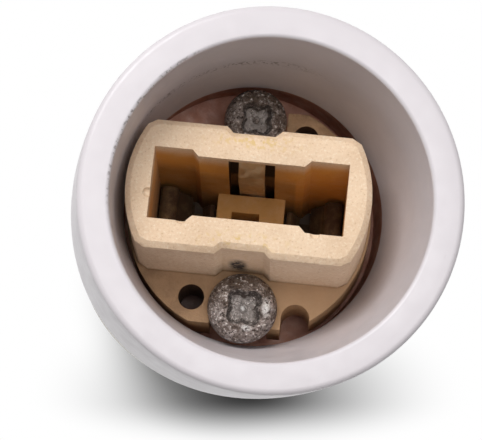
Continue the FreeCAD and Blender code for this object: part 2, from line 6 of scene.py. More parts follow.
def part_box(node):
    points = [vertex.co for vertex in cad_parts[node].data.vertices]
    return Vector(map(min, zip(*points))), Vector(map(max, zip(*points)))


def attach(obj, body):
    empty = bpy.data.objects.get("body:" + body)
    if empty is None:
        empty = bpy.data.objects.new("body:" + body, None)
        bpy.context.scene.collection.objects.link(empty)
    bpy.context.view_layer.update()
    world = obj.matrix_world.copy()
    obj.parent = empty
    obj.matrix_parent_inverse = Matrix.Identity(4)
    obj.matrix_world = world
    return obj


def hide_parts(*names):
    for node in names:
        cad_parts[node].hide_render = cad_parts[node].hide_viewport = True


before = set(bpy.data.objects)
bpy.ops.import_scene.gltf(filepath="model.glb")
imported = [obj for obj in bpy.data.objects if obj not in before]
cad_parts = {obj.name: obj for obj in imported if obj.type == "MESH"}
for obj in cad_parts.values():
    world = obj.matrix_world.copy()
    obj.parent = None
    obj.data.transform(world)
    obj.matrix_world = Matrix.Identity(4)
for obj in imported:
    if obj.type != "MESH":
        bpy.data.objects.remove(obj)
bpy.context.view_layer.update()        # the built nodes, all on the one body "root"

mm = 0.001
mergeGap = 0.002 * mm           # corners closer than this become one
flatAngle = math.radians(1.5)   # faces closer to flat than this are joined
print("frame loaded:", len(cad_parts), "nodes")

# the ceramic holder leans in the cup: this turns and moves things from its own axis to its place
holder = {
    "shift": Vector((-0.4, -0.18, 37.9)) * mm,   # centre of the flange's top face
    "lean": 10.2,                                # degrees off the cup's axis
    "heading": 134.0,                            # which way it leans, degrees from X
    "smudge": (-0.4, 2.6),                       # along the slot and above the flange, mm
    "hole": (3.98, 7.06),                        # of one small hole: the other lies opposite
}
heading = math.radians(holder["heading"])
tiltAxis = Vector((-math.sin(heading), math.cos(heading), 0))
holderTurn = Matrix.Rotation(math.radians(holder["lean"]), 4, tiltAxis)
holderPlace = Matrix.Translation(holder["shift"]) @ holderTurn


def clearSelection():
    if bpy.context.object and bpy.context.object.mode != "OBJECT":
        bpy.ops.object.mode_set(mode="OBJECT")
    bpy.ops.object.select_all(action="DESELECT")


def pick(piece):
    clearSelection()
    piece.select_set(True)
    bpy.context.view_layer.objects.active = piece


def startEdit(piece):
    pick(piece)
    bpy.ops.object.mode_set(mode="EDIT")
    bpy.ops.mesh.select_all(action="SELECT")


def endEdit():
    bpy.ops.object.mode_set(mode="OBJECT")


def closeMesh(piece, gap):
    # corners that meet become one, and all faces turn outwards
    startEdit(piece)
    bpy.ops.mesh.remove_doubles(threshold=gap)
    bpy.ops.mesh.normals_make_consistent(inside=False)
    endEdit()


def applyAll(piece):
    pick(piece)
    for modifier in list(piece.modifiers):
        bpy.ops.object.modifier_apply(modifier=modifier.name)


def settle(piece, material):
    # object back at the origin with its place in the mesh, then material and body
    pick(piece)
    bpy.ops.object.transform_apply(location=True, rotation=True, scale=True)
    piece.data.materials.clear()
    piece.data.materials.append(material)
    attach(piece, "root")


def smoothTo(piece, degrees):
    pick(piece)
    bpy.ops.object.shade_smooth_by_angle(angle=math.radians(degrees))


def softEdges(piece, width, segments, angle):
    bevel = piece.modifiers.new("softEdges", "BEVEL")
    bevel.width = width * mm
    bevel.segments = segments
    bevel.limit_method = "ANGLE"
    bevel.angle_limit = math.radians(angle)
    bevel.use_clamp_overlap = True
    applyAll(piece)


def copyOfNode(nodeName, pieceName, joinFaces=True):
    # the node itself is never changed: its copy is merged, and its flat faces are joined
    piece = bpy.data.objects.new(pieceName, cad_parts[nodeName].data.copy())
    bpy.context.scene.collection.objects.link(piece)
    piece.data.materials.clear()
    if piece.data.has_custom_normals:
        pick(piece)
        bpy.ops.mesh.customdata_custom_splitnormals_clear()
    startEdit(piece)
    bpy.ops.mesh.remove_doubles(threshold=mergeGap)
    if joinFaces:
        bpy.ops.mesh.dissolve_limited(angle_limit=flatAngle)
    endEdit()
    return piece


def cutWith(piece, tool):
    cut = piece.modifiers.new("cut", "BOOLEAN")
    cut.operation = "DIFFERENCE"
    cut.solver = "EXACT"
    cut.object = tool
    applyAll(piece)
    bpy.data.objects.remove(tool)


def lathe(name, outline, around, closed=True):
    # outline: (radius, height) in mm, ring by ring; a closed one ends on its first ring
    clearSelection()
    radius, height = outline[0]
    bpy.ops.mesh.primitive_circle_add(vertices=around, radius=radius * mm, fill_type="NOTHING",
                                      location=(0, 0, height * mm))
    piece = bpy.context.object
    piece.name = name
    bpy.ops.object.transform_apply(location=True, rotation=True, scale=True)
    startEdit(piece)
    rings = outline[1:] + outline[:1] if closed else outline[1:]
    for nextRadius, nextHeight in rings:
        bpy.ops.mesh.extrude_region_move(
            TRANSFORM_OT_translate={"value": (0, 0, (nextHeight - height) * mm)})
        stretch = nextRadius / radius
        bpy.ops.transform.resize(value=(stretch, stretch, 1), center_override=(0, 0, nextHeight * mm))
        radius, height = nextRadius, nextHeight
    closeMesh(piece, mergeGap)
    return piece


def arcOf(centre, radius, fromDegrees, toDegrees, count):
    points = []
    for step in range(count + 1):
        angle = math.radians(fromDegrees + (toDegrees - fromDegrees) * step / count)
        points.append((centre[0] + radius * math.cos(angle), centre[1] + radius * math.sin(angle)))
    return points


# materials: patterns are in millimetres of the object, or of the holder's own axes

def newMaterial(name, roughness, metallic=0.0):
    material = bpy.data.materials.new(name)
    material.use_nodes = True
    shader = material.node_tree.nodes["Principled BSDF"]
    shader.inputs["Roughness"].default_value = roughness
    shader.inputs["Metallic"].default_value = metallic
    return material, material.node_tree, shader


def inMm(tree):
    place = tree.nodes.new("ShaderNodeTexCoord")
    scale = tree.nodes.new("ShaderNodeMapping")
    scale.inputs["Scale"].default_value = (1 / mm, 1 / mm, 1 / mm)
    tree.links.new(place.outputs["Object"], scale.inputs["Vector"])
    return scale.outputs["Vector"]


def inHolder(tree):
    moved = tree.nodes.new("ShaderNodeVectorMath")
    moved.operation = "SUBTRACT"
    tree.links.new(inMm(tree), moved.inputs[0])
    moved.inputs[1].default_value = holder["shift"] / mm
    turned = tree.nodes.new("ShaderNodeVectorRotate")
    turned.rotation_type = "AXIS_ANGLE"
    turned.inputs["Axis"].default_value = tiltAxis
    turned.inputs["Angle"].default_value = -math.radians(holder["lean"])
    tree.links.new(moved.outputs["Vector"], turned.inputs["Vector"])
    return turned.outputs["Vector"]


def axes(tree, vector):
    split = tree.nodes.new("ShaderNodeSeparateXYZ")
    tree.links.new(vector, split.inputs["Vector"])
    return split.outputs["X"], split.outputs["Y"], split.outputs["Z"]


def sums(tree, operation, first, second=0.0, third=0.0):
    node = tree.nodes.new("ShaderNodeMath")
    node.operation = operation
    for socket, value in zip(node.inputs, (first, second, third)):
        if isinstance(value, (int, float)):
            socket.default_value = value
        else:
            tree.links.new(value, socket)
    return node.outputs["Value"]


def times(tree, first, *others):
    for other in others:
        first = sums(tree, "MULTIPLY", first, other)
    return first


def ease(tree, value, start, end, low=0.0, high=1.0):
    node = tree.nodes.new("ShaderNodeMapRange")
    node.interpolation_type = "SMOOTHSTEP"
    tree.links.new(value, node.inputs["Value"])
    node.inputs["From Min"].default_value = start
    node.inputs["From Max"].default_value = end
    node.inputs["To Min"].default_value = low
    node.inputs["To Max"].default_value = high
    return node.outputs["Result"]


def near(tree, value, middle, reach):
    # 1 on the middle, falling to 0 at the reach on either side
    return ease(tree, sums(tree, "ABSOLUTE", sums(tree, "SUBTRACT", value, middle)), reach, 0.0)


def towards(tree, x, y, degrees):
    # how far a point lies from the axis in one direction
    angle = math.radians(degrees)
    return sums(tree, "MULTIPLY_ADD", x, math.cos(angle), times(tree, y, math.sin(angle)))


def stretched(tree, vector, size):
    node = tree.nodes.new("ShaderNodeMapping")
    node.inputs["Scale"].default_value = size
    tree.links.new(vector, node.inputs["Vector"])
    return node.outputs["Vector"]


def cloud(tree, vector, scale, detail=4.0, roughness=0.55):
    node = tree.nodes.new("ShaderNodeTexNoise")
    node.inputs["Scale"].default_value = scale
    node.inputs["Detail"].default_value = detail
    node.inputs["Roughness"].default_value = roughness
    tree.links.new(vector, node.inputs["Vector"])
    return node.outputs["Fac"]


def cells(tree, vector, scale):
    node = tree.nodes.new("ShaderNodeTexVoronoi")
    node.inputs["Scale"].default_value = scale
    tree.links.new(vector, node.inputs["Vector"])
    return node.outputs["Distance"]


def mixed(tree, share, first, second):
    node = tree.nodes.new("ShaderNodeMix")
    node.data_type = "RGBA"
    for name, value in (("Factor", share), ("A", first), ("B", second)):
        socket = [s for s in node.inputs if s.name == name and (name == "Factor" or s.type == "RGBA")][0]
        if isinstance(value, (int, float)):
            socket.default_value = value
        elif isinstance(value, tuple):
            socket.default_value = (*value, 1)
        else:
            tree.links.new(value, socket)
    return [s for s in node.outputs if s.type == "RGBA"][0]


def bumps(tree, shader, height, depth, under=None):
    node = tree.nodes.new("ShaderNodeBump")
    node.inputs["Strength"].default_value = 1.0
    node.inputs["Distance"].default_value = depth * mm
    tree.links.new(height, node.inputs["Height"])
    if under is not None:
        tree.links.new(under, node.inputs["Normal"])
    tree.links.new(node.outputs["Normal"], shader.inputs["Normal"])
    return node.outputs["Normal"]


def radiusFromAxis(tree, vector):
    flat = tree.nodes.new("ShaderNodeVectorMath")
    flat.operation = "MULTIPLY"
    flat.inputs[1].default_value = (1, 1, 0)
    tree.links.new(vector, flat.inputs[0])
    size = tree.nodes.new("ShaderNodeVectorMath")
    size.operation = "LENGTH"
    tree.links.new(flat.outputs["Vector"], size.inputs[0])
    return size.outputs["Value"]


def onEllipse(tree, vector, centre, degrees, reach):
    # 1 from the axis is the ellipse's edge
    node = tree.nodes.new("ShaderNodeMapping")
    node.vector_type = "TEXTURE"
    node.inputs["Location"].default_value = (*centre, 0)
    node.inputs["Rotation"].default_value = (0, 0, math.radians(degrees))
    node.inputs["Scale"].default_value = (*reach, 1)
    tree.links.new(vector, node.inputs["Vector"])
    return node.outputs["Vector"]


def underHoles(tree, vector, reach):
    # 1 round the axes of the flange's two small holes, in the holder's own axes
    share = 0.0
    for side in (-1, 1):
        centre = (side * holder["hole"][0], side * holder["hole"][1])
        distance = radiusFromAxis(tree, onEllipse(tree, vector, centre, 0, (1, 1)))
        share = sums(tree, "MAXIMUM", share, ease(tree, distance, reach, reach - 0.25))
    return share


# looks: colours first, then pairs in mm, from where a mark begins to where it is full
plasticLook = {
    "clean": ((0.68, 0.635, 0.66), (0.74, 0.695, 0.72)),
    "dustAndShade": (0.44, 0.385, 0.37), "specks": (0.12, 0.09, 0.075),
    # dust and painted shade, from the rim down the bore
    "bore": (12.9, 12.4), "dustAndShadeHeights": (50.5, 37.5), "dustAndShadeShares": (0.1, 0.42),
    "litNearSide": (-11.5, -5.0),
    "stepHeight": 44.0, "stepHeading": 117, "stepReach": (7.0, 10.8),      # mm, degrees, mm
    "edgeRadius": 12.62, "edgeHeading": 155, "edgeReach": (9.5, 12.4),
}


def makeWhitePlastic():
    p = plasticLook
    material, tree, shader = newMaterial("whitePlastic", 0.3)
    place = inMm(tree)
    x, y, z = axes(tree, place)
    radius = radiusFromAxis(tree, place)
    tone = mixed(tree, cloud(tree, place, 0.12, 3), *p["clean"])
    # the inside of the mouth greys towards the bottom, partly with a little dust and partly with painted
    # shade
    inside = ease(tree, radius, *p["bore"])
    deep = times(tree, inside, ease(tree, z, *p["dustAndShadeHeights"], *p["dustAndShadeShares"]))
    # less of it on the near side, where the light falls: painted light
    deep = times(tree, deep, ease(tree, y, *p["litNearSide"], 0.25, 1.0))
    dustAndShade = times(tree, deep, ease(tree, cloud(tree, place, 0.5, 6, 0.65), 0.25, 0.75, 0.7, 1.0))
    tone = mixed(tree, dustAndShade, tone, p["dustAndShade"])
    # dark specks have caught on the far side of the step in the bore and on the left of the rim's edge
    stepSide = ease(tree, towards(tree, x, y, p["stepHeading"]), *p["stepReach"])
    stepLine = times(tree, near(tree, z, p["stepHeight"], 0.8), inside, stepSide)
    edgeSide = ease(tree, towards(tree, x, y, p["edgeHeading"]), *p["edgeReach"])
    edgeLine = times(tree, near(tree, radius, p["edgeRadius"], 0.22), edgeSide)
    specks = ease(tree, cloud(tree, place, 3.4, 3, 0.6), 0.50, 0.62)
    lines = times(tree, sums(tree, "ADD", stepLine, edgeLine), specks)
    tone = mixed(tree, times(tree, lines, 0.75), tone, p["specks"])
    tree.links.new(tone, shader.inputs["Base Color"])
    tree.links.new(ease(tree, cloud(tree, place, 0.8, 5), 0.3, 0.7, 0.28, 0.42), shader.inputs["Roughness"])
    bumps(tree, shader, cloud(tree, place, 0.9, 3, 0.4), 0.01)
    return material


phenolicLook = {
    "clean": ((0.43, 0.18, 0.115), (0.56, 0.26, 0.17)),
    "grit": (0.55, 0.33, 0.22), "paintedHoleShade": (0.05, 0.018, 0.012),
    "paintedHoleShadeReach": 1.9, "paintedHoleShadeShare": 0.85,
}


def makePhenolic():
    p = phenolicLook
    material, tree, shader = newMaterial("brownPhenolic", 0.5)
    place = inMm(tree)
    tone = mixed(tree, ease(tree, cloud(tree, place, 0.35, 5, 0.6), 0.35, 0.65), *p["clean"])
    grit = ease(tree, cloud(tree, place, 3.5, 4, 0.6), 0.58, 0.78)
    tone = mixed(tree, grit, tone, p["grit"])
    # painted shade lies under the small holes of the holder
    paintedHoleShade = times(tree, underHoles(tree, inHolder(tree), p["paintedHoleShadeReach"]), p["paintedHoleShadeShare"])
    tone = mixed(tree, paintedHoleShade, tone, p["paintedHoleShade"])
    tree.links.new(tone, shader.inputs["Base Color"])
    tree.links.new(ease(tree, cloud(tree, place, 1.1, 5), 0.3, 0.7, 0.35, 0.65), shader.inputs["Roughness"])
    bumps(tree, shader, cloud(tree, place, 2.2, 6, 0.6), 0.06)
    return material


steatiteLook = {
    "clean": ((0.82, 0.61, 0.42), (0.74, 0.53, 0.35)),
    "grains": (0.92, 0.80, 0.64), "pits": (0.50, 0.31, 0.16), "specks": (0.72, 0.50, 0.22),
    # amber is heat stain together with painted shade
    "amberStainAndShade": ((0.68, 0.335, 0.075), (0.45, 0.225, 0.055)),     # near the mouth and deep down
    "flange": (0.41, 0.235, 0.11), "dirtAndShade": (0.19, 0.10, 0.045),
    "paintedChannelShade": (0.03, 0.014, 0.008), "paintedHoleShadeTone": (0.05, 0.022, 0.014), "smudge": (0.05, 0.04, 0.035),
    "slotEnds": (7.9, 7.6), "slotSides": (3.3, 3.0), "slotMouth": (8.6, 5.6),
    "deepHeights": (4.5, 1.5), "deepEnd": (3.7, 3.4),
    "channelEnds": (1.95, 1.82), "channelFront": (2.40, 2.48), "channelBack": (3.75, 3.6),
    "channelTop": (8.02, 7.92),
    "flangeTop": (0.9, -0.1), "dirtAndShadeRadii": (5.0, 9.5), "litSideHeading": -45, "dirtAndShadeReach": (7.0, 0.5),
    "holeReach": 1.4, "holeDepths": (-0.02, -0.25),
    "smudgeReach": (0.95, 2.6), "smudgeWall": (-3.6, -4.4),
}


def makeSteatite():
    s = steatiteLook
    material, tree, shader = newMaterial("steatite", 0.62)
    place = inHolder(tree)
    x, y, z = axes(tree, place)
    fromMiddle = sums(tree, "ABSOLUTE", x)
    fromSlot = sums(tree, "ABSOLUTE", y)
    tone = mixed(tree, ease(tree, cloud(tree, place, 0.22, 4, 0.6), 0.35, 0.7), *s["clean"])
    grain = cloud(tree, place, 4.5, 6, 0.7)
    tone = mixed(tree, ease(tree, grain, 0.52, 0.66, 0.0, 0.55), tone, s["grains"])
    tone = mixed(tree, ease(tree, grain, 0.45, 0.32, 0.0, 0.6), tone, s["pits"])
    # yellowed specks gather on the face above and below the slot
    specks = times(tree, near(tree, x, 0.0, 5.5), near(tree, fromSlot, 4.0, 1.1),
                   ease(tree, cloud(tree, place, 2.4, 4, 0.6), 0.50, 0.62))
    tone = mixed(tree, specks, tone, s["specks"])
    # the slot's walls are amber from heat stain and painted shade, deepening from the mouth downwards
    inSlot = times(tree, ease(tree, fromMiddle, *s["slotEnds"]), ease(tree, fromSlot, *s["slotSides"]))
    amberStainAndShade = times(tree, inSlot, ease(tree, z, *s["slotMouth"]),
                  ease(tree, cloud(tree, place, 0.6, 5, 0.6), 0.2, 0.6, 0.8, 1.0))
    # the darker amber deep down is painted shade
    deep = times(tree, ease(tree, z, *s["deepHeights"]), ease(tree, x, *s["deepEnd"]))
    tone = mixed(tree, amberStainAndShade, tone, mixed(tree, deep, *s["amberStainAndShade"]))
    # painted shade fills the spring's channels beside the strip
    channelWalls = times(tree, ease(tree, z, *s["channelTop"]), ease(tree, fromSlot, *s["channelBack"]))
    channel = times(tree, ease(tree, fromMiddle, *s["channelEnds"]),
                    ease(tree, fromSlot, *s["channelFront"]), channelWalls)
    tone = mixed(tree, channel, tone, s["paintedChannelShade"])
    # the flange is browner than the block, partly with painted shade, and darker towards its edge and away
    # from its lit side with dirt and painted shade
    onFlange = times(tree, ease(tree, z, *s["flangeTop"]), sums(tree, "SUBTRACT", 1.0, inSlot))
    tone = mixed(tree, times(tree, onFlange, 0.92), tone, s["flange"])
    dirtAndShade = times(tree, onFlange,
                 ease(tree, cloud(tree, place, 0.7, 5, 0.65), 0.34, 0.70, 0.3, 0.8),
                 ease(tree, radiusFromAxis(tree, place), *s["dirtAndShadeRadii"], 0.5, 1.0),
                 ease(tree, towards(tree, x, y, s["litSideHeading"]), *s["dirtAndShadeReach"], 0.15, 1.0))
    tone = mixed(tree, dirtAndShade, tone, s["dirtAndShade"])
    # painted shade in the flange's two small holes
    paintedHoleShade = times(tree, underHoles(tree, place, s["holeReach"]), ease(tree, z, *s["holeDepths"], 0.0, 0.9))
    tone = mixed(tree, paintedHoleShade, tone, s["paintedHoleShadeTone"])
    # one black smudge on the side wall above the lower screw
    smudge = times(tree, near(tree, x, holder["smudge"][0], s["smudgeReach"][0]),
                   near(tree, z, holder["smudge"][1], s["smudgeReach"][1]),
                   ease(tree, y, *s["smudgeWall"]),
                   ease(tree, cloud(tree, place, 2.0, 4, 0.6), 0.34, 0.54, 0.6, 1.9))
    tone = mixed(tree, smudge, tone, s["smudge"])
    tree.links.new(tone, shader.inputs["Base Color"])
    fine = bumps(tree, shader, grain, 0.06)
    bumps(tree, shader, cloud(tree, place, 1.3, 3, 0.5), 0.10, fine)
    return material


plainTones = {
    "backPlate": ((0.055, 0.034, 0.022), (0.12, 0.075, 0.05)),
    "darkGlass": ((0.010, 0.010, 0.012), (0.022, 0.020, 0.024)),
    "leadSleeve": ((0.80, 0.76, 0.66), (0.52, 0.47, 0.38)),
}


def makeBackPlate():
    material, tree, shader = newMaterial("backPlate", 0.75)
    place = inHolder(tree)
    tone = mixed(tree, cloud(tree, place, 0.8, 5), *plainTones["backPlate"])
    tree.links.new(tone, shader.inputs["Base Color"])
    bumps(tree, shader, cloud(tree, place, 4, 5, 0.6), 0.05)
    return material


def makeDarkGlass():
    material, tree, shader = newMaterial("darkGlass", 0.08)
    place = inMm(tree)
    tone = mixed(tree, cloud(tree, place, 0.4, 4), *plainTones["darkGlass"])
    tree.links.new(tone, shader.inputs["Base Color"])
    tree.links.new(ease(tree, cloud(tree, place, 0.7, 5), 0.4, 0.75, 0.06, 0.22), shader.inputs["Roughness"])
    bumps(tree, shader, cloud(tree, place, 0.35, 2), 0.05)
    return material


def makeWovenSleeve():
    material, tree, shader = newMaterial("leadSleeve", 0.85)
    place = inMm(tree)
    weave = cells(tree, stretched(tree, place, (1.0, 1.0, 0.6)), 4.0)
    tree.links.new(mixed(tree, weave, *plainTones["leadSleeve"]), shader.inputs["Base Color"])
    bumps(tree, shader, weave, 0.08)
    return material


# metal with a film of dirt: share is how much of it is covered
wornMetals = {
    "contactMetal": {"clean": (0.22, 0.14, 0.07), "dirty": (0.08, 0.04, 0.018),
                     "share": 0.6, "roughness": 0.7, "scale": 0.6, "depth": 0.005},
    "springSteel": {"clean": (0.62, 0.47, 0.30), "dirty": (0.52, 0.38, 0.23),
                    "share": 0.4, "roughness": 0.45, "scale": 0.8, "depth": 0.004},
    "tipMetal": {"clean": (0.72, 0.62, 0.40), "dirty": (0.30, 0.22, 0.12),
                 "share": 0.25, "roughness": 0.28, "scale": 1.2, "depth": 0.03},
    "solder": {"clean": (0.66, 0.66, 0.67), "dirty": (0.36, 0.35, 0.34),
               "share": 0.3, "roughness": 0.32, "scale": 0.8, "depth": 0.08},
    "tinnedWire": {"clean": (0.74, 0.71, 0.66), "dirty": (0.42, 0.38, 0.32),
                   "share": 0.25, "roughness": 0.3, "scale": 1.2, "depth": 0.03},
}


def makeWornMetal(name):
    m = wornMetals[name]
    covered = 0.5 * m["share"]
    rough = m["roughness"]
    material, tree, shader = newMaterial(name, rough, 1.0)
    place = inMm(tree)
    film = ease(tree, cloud(tree, place, m["scale"], 7, 0.68), 0.62 - covered, 0.86 - covered)
    tree.links.new(mixed(tree, film, m["clean"], m["dirty"]), shader.inputs["Base Color"])
    tree.links.new(ease(tree, film, 0.0, 1.0, 1.0, 0.45), shader.inputs["Metallic"])
    tree.links.new(ease(tree, film, 0.0, 1.0, rough, min(0.85, rough + 0.35)), shader.inputs["Roughness"])
    bumps(tree, shader, cloud(tree, place, 3.2 * m["scale"], 6, 0.6), m["depth"])
    return material


# old steel: pitted and flecked bright, with black grease and painted shade on the walls of the recess and
# painted glints on the nub and two of its lands
screwLook = {
    "film": ((0.50, 0.44, 0.41), (0.14, 0.10, 0.08)), "paintedShadeBrown": (0.10, 0.065, 0.04),
    "bright": (0.86, 0.80, 0.76), "pits": (0.03, 0.02, 0.015),
    "greaseAndShade": (0.05, 0.045, 0.043), "floor": (0.44, 0.41, 0.39), "paintedGlints": (0.93, 0.92, 0.90),
    "greaseAndShadeDepths": (0.05, 0.3),
    "lands": ((0.31, 0.03, 0.5, 1.1), (0.06, -0.29, 0.5, 0.35)),   # place by the diameter, reach in mm
}


def makeScrewSteel(name, centre, diameter, seat, paintedShadeSide, paintedGlintShare):
    k = screwLook
    material, tree, shader = newMaterial(name, 0.4, 1.0)
    fromCentre = tree.nodes.new("ShaderNodeVectorMath")
    fromCentre.operation = "SUBTRACT"
    fromCentre.inputs[1].default_value = (centre.x / mm, centre.y / mm, 0)
    tree.links.new(inMm(tree), fromCentre.inputs[0])
    place = fromCentre.outputs["Vector"]
    x, y, z = axes(tree, place)
    radius = radiusFromAxis(tree, place)
    # depth is measured down from the head's dome
    edge = diameter * screwSizes["sideShare"]
    rise = diameter * screwSizes["heightShare"] - edge
    share = sums(tree, "POWER", sums(tree, "DIVIDE", radius, diameter / 2), screwSizes["domePower"])
    crown = sums(tree, "POWER", sums(tree, "MAXIMUM", sums(tree, "SUBTRACT", 1.0, share), 0.0), 0.5)
    depth = sums(tree, "SUBTRACT", sums(tree, "MULTIPLY_ADD", crown, rise, seat + edge), z)
    floorDepth = diameter * screwSizes["recess"]
    film = ease(tree, cloud(tree, place, 0.8, 8, 0.72), 0.34, 0.60)
    grit = cloud(tree, place, 3.6, 4, 0.7)
    tone = mixed(tree, film, *k["film"])
    # painted shade: the side away from the light is browner
    paintedShadeBrown = times(tree, ease(tree, y, -0.2, 2.4), paintedShadeSide)
    tone = mixed(tree, paintedShadeBrown, tone, k["paintedShadeBrown"])
    tone = mixed(tree, ease(tree, grit, 0.56, 0.64, 0.0, 0.9), tone, k["bright"])
    tone = mixed(tree, ease(tree, grit, 0.46, 0.38, 0.0, 0.92), tone, k["pits"])
    # black grease and painted shade on the walls of the recess
    greaseAndShade = times(tree, ease(tree, depth, *k["greaseAndShadeDepths"]),
                   ease(tree, depth, floorDepth * 0.96, floorDepth * 0.8),
                   ease(tree, radius, diameter * 0.1, diameter * 0.14),
                   ease(tree, grit, 0.40, 0.58, 0.95, 0.35))
    tone = mixed(tree, greaseAndShade, tone, k["greaseAndShade"])
    onFloor = ease(tree, depth, floorDepth * 0.85, floorDepth * 0.97)
    tone = mixed(tree, times(tree, onFloor, 0.45), tone, k["floor"])
    # painted highlights: glints on the nub and on two of the lands
    lands = [times(tree, near(tree, x, diameter * right, wide), near(tree, y, diameter * up, tall))
             for right, up, wide, tall in k["lands"]]
    paintedGlints = times(tree, sums(tree, "ADD", *lands), ease(tree, grit, 0.42, 0.50))
    nub = times(tree, ease(tree, radius, diameter * 0.075, diameter * 0.02),
                ease(tree, grit, 0.36, 0.56, 0.2, 0.8))
    paintedGlints = times(tree, sums(tree, "MAXIMUM", paintedGlints, nub), paintedGlintShare)
    tone = mixed(tree, paintedGlints, tone, k["paintedGlints"])
    tree.links.new(tone, shader.inputs["Base Color"])
    bare = ease(tree, film, 0.0, 1.0, 0.95, 0.45)
    tree.links.new(sums(tree, "SUBTRACT", bare, times(tree, paintedGlints, 0.6)), shader.inputs["Metallic"])
    tree.links.new(ease(tree, film, 0.0, 1.0, 0.24, 0.5), shader.inputs["Roughness"])
    fine = bumps(tree, shader, grit, 0.25)
    bumps(tree, shader, cloud(tree, place, 1.4, 4, 0.55), 0.2, fine)
    return material


plateLook = {
    "clean": ((0.46, 0.44, 0.40), (0.60, 0.58, 0.54)),
    "valleys": (0.22, 0.19, 0.15), "valleyRadii": (12.85, 12.25),
}


def makeShellPlate():
    p = plateLook
    material, tree, shader = newMaterial("platedShell", 0.2, 1.0)
    place = inMm(tree)
    tone = mixed(tree, cloud(tree, place, 0.25, 5, 0.6), *p["clean"])
    # the valleys of the thread have tarnished
    valley = times(tree, ease(tree, radiusFromAxis(tree, place), *p["valleyRadii"]),
                   ease(tree, cloud(tree, place, 0.6, 5, 0.6), 0.2, 0.7, 0.5, 1.0))
    tone = mixed(tree, valley, tone, p["valleys"])
    tree.links.new(tone, shader.inputs["Base Color"])
    rub = cloud(tree, stretched(tree, place, (0.4, 0.4, 5.0)), 1.1, 5, 0.6)
    tree.links.new(ease(tree, rub, 0.3, 0.75, 0.14, 0.38), shader.inputs["Roughness"])
    bumps(tree, shader, cloud(tree, place, 0.9, 3, 0.5), 0.03)
    return material


whitePlastic = makeWhitePlastic()
brownPhenolic = makePhenolic()
steatite = makeSteatite()
backPlate = makeBackPlate()
contactMetal = makeWornMetal("contactMetal")
springSteel = makeWornMetal("springSteel")
platedShell = makeShellPlate()
darkGlass = makeDarkGlass()
tipMetal = makeWornMetal("tipMetal")
solder = makeWornMetal("solder")
tinnedWire = makeWornMetal("tinnedWire")
leadSleeve = makeWovenSleeve()
print("materials made")


# white sleeve, turned ring by ring
cup = {
    "mouth": 51.0, "base": 25.0, "rimOut": 15.0, "rimIn": 12.5,
    "outRound": 0.5, "inRound": 0.35,
    "bulgeRadius": 14.85, "bulgeDepth": 14.0, "baseRadius": 14.1, "baseBevel": 0.3,
    "wall": 1.2, "footHeight": 3.0, "hollowRise": 0.3,
    "throatRadius": 11.65, "throatDepth": 7.0, "skirtRadius": 10.6, "skirtDepth": 13.7,
    "skirtBevel": 0.15, "stepLean": 0.04, "stepHalf": 0.3,
    "around": 160, "roundSteps": 6, "wallSteps": 12, "smooth": 28,
}


def makeSleeve():
    c = cup
    mouth = c["mouth"]
    throat = mouth - c["throatDepth"]
    skirt = mouth - c["skirtDepth"]
    top = mouth - c["outRound"]
    middle = mouth - c["bulgeDepth"]
    low = c["base"] + c["baseBevel"]
    bevel = c["skirtBevel"]

    def outerRadius(z):
        # smooth curve through the rim, the middle of the wall and the foot
        rim = c["rimOut"] * (z - middle) * (z - low) / ((top - middle) * (top - low))
        wall = c["bulgeRadius"] * (z - top) * (z - low) / ((middle - top) * (middle - low))
        foot = c["baseRadius"] * (z - top) * (z - middle) / ((low - top) * (low - middle))
        return rim + wall + foot

    outline = arcOf((c["rimIn"] + c["inRound"], mouth - c["inRound"]), c["inRound"], 180, 90, c["roundSteps"])
    outline += arcOf((c["rimOut"] - c["outRound"], top), c["outRound"], 90, 0, c["roundSteps"])
    for step in range(1, c["wallSteps"] + 1):
        z = top + (low - top) * step / c["wallSteps"]
        outline.append((outerRadius(z), z))
    outline += [
        (c["baseRadius"] - c["baseBevel"], c["base"]),
        (c["baseRadius"] - c["wall"], c["base"]),
        (c["baseRadius"] - c["wall"], c["base"] + c["footHeight"]),
        (c["bulgeRadius"] - c["wall"], skirt),
        (c["bulgeRadius"] - c["wall"], throat + c["hollowRise"]),
        (c["throatRadius"] + c["wall"], throat + c["hollowRise"]),
        (c["skirtRadius"] + c["wall"], skirt + bevel),
        (c["skirtRadius"] + c["wall"] - bevel, skirt),
        (c["skirtRadius"] + bevel, skirt),
        (c["skirtRadius"], skirt + bevel),
        (c["throatRadius"] - c["stepLean"], throat - c["stepHalf"]),
        (c["throatRadius"] + c["stepLean"], throat + c["stepHalf"]),
    ]
    piece = lathe("cup_sleeve", outline, c["around"])
    smoothTo(piece, c["smooth"])
    settle(piece, whitePlastic)
    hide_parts("outer_sleeve")


# ceramic holder: the front face has a wide round edge, and chips have come off it
ceramic = {
    "faceHeight": 8.65, "chamfer": 0.3, "slack": 0.01,   # mm: the front face and its plain edge
    "slotHalf": (7.75, 2.95),
    "blockHalf": (9.4, 4.88),                            # of the front face inside its plain edge
    "inset": 0.15, "drop": 0.12,                         # how far the plain edge's corners move
    "edge": 0.28, "edgeSegments": 3, "edgeAngle": 30, "smooth": 38,
    "chipRise": 0.12,                                    # of a chip's centre above the face
    "chips": ((-5.05, -2.75, 0.46), (-7.85, -0.9, 0.44), (5.5, -2.95, 0.44)),   # along, across, size
}


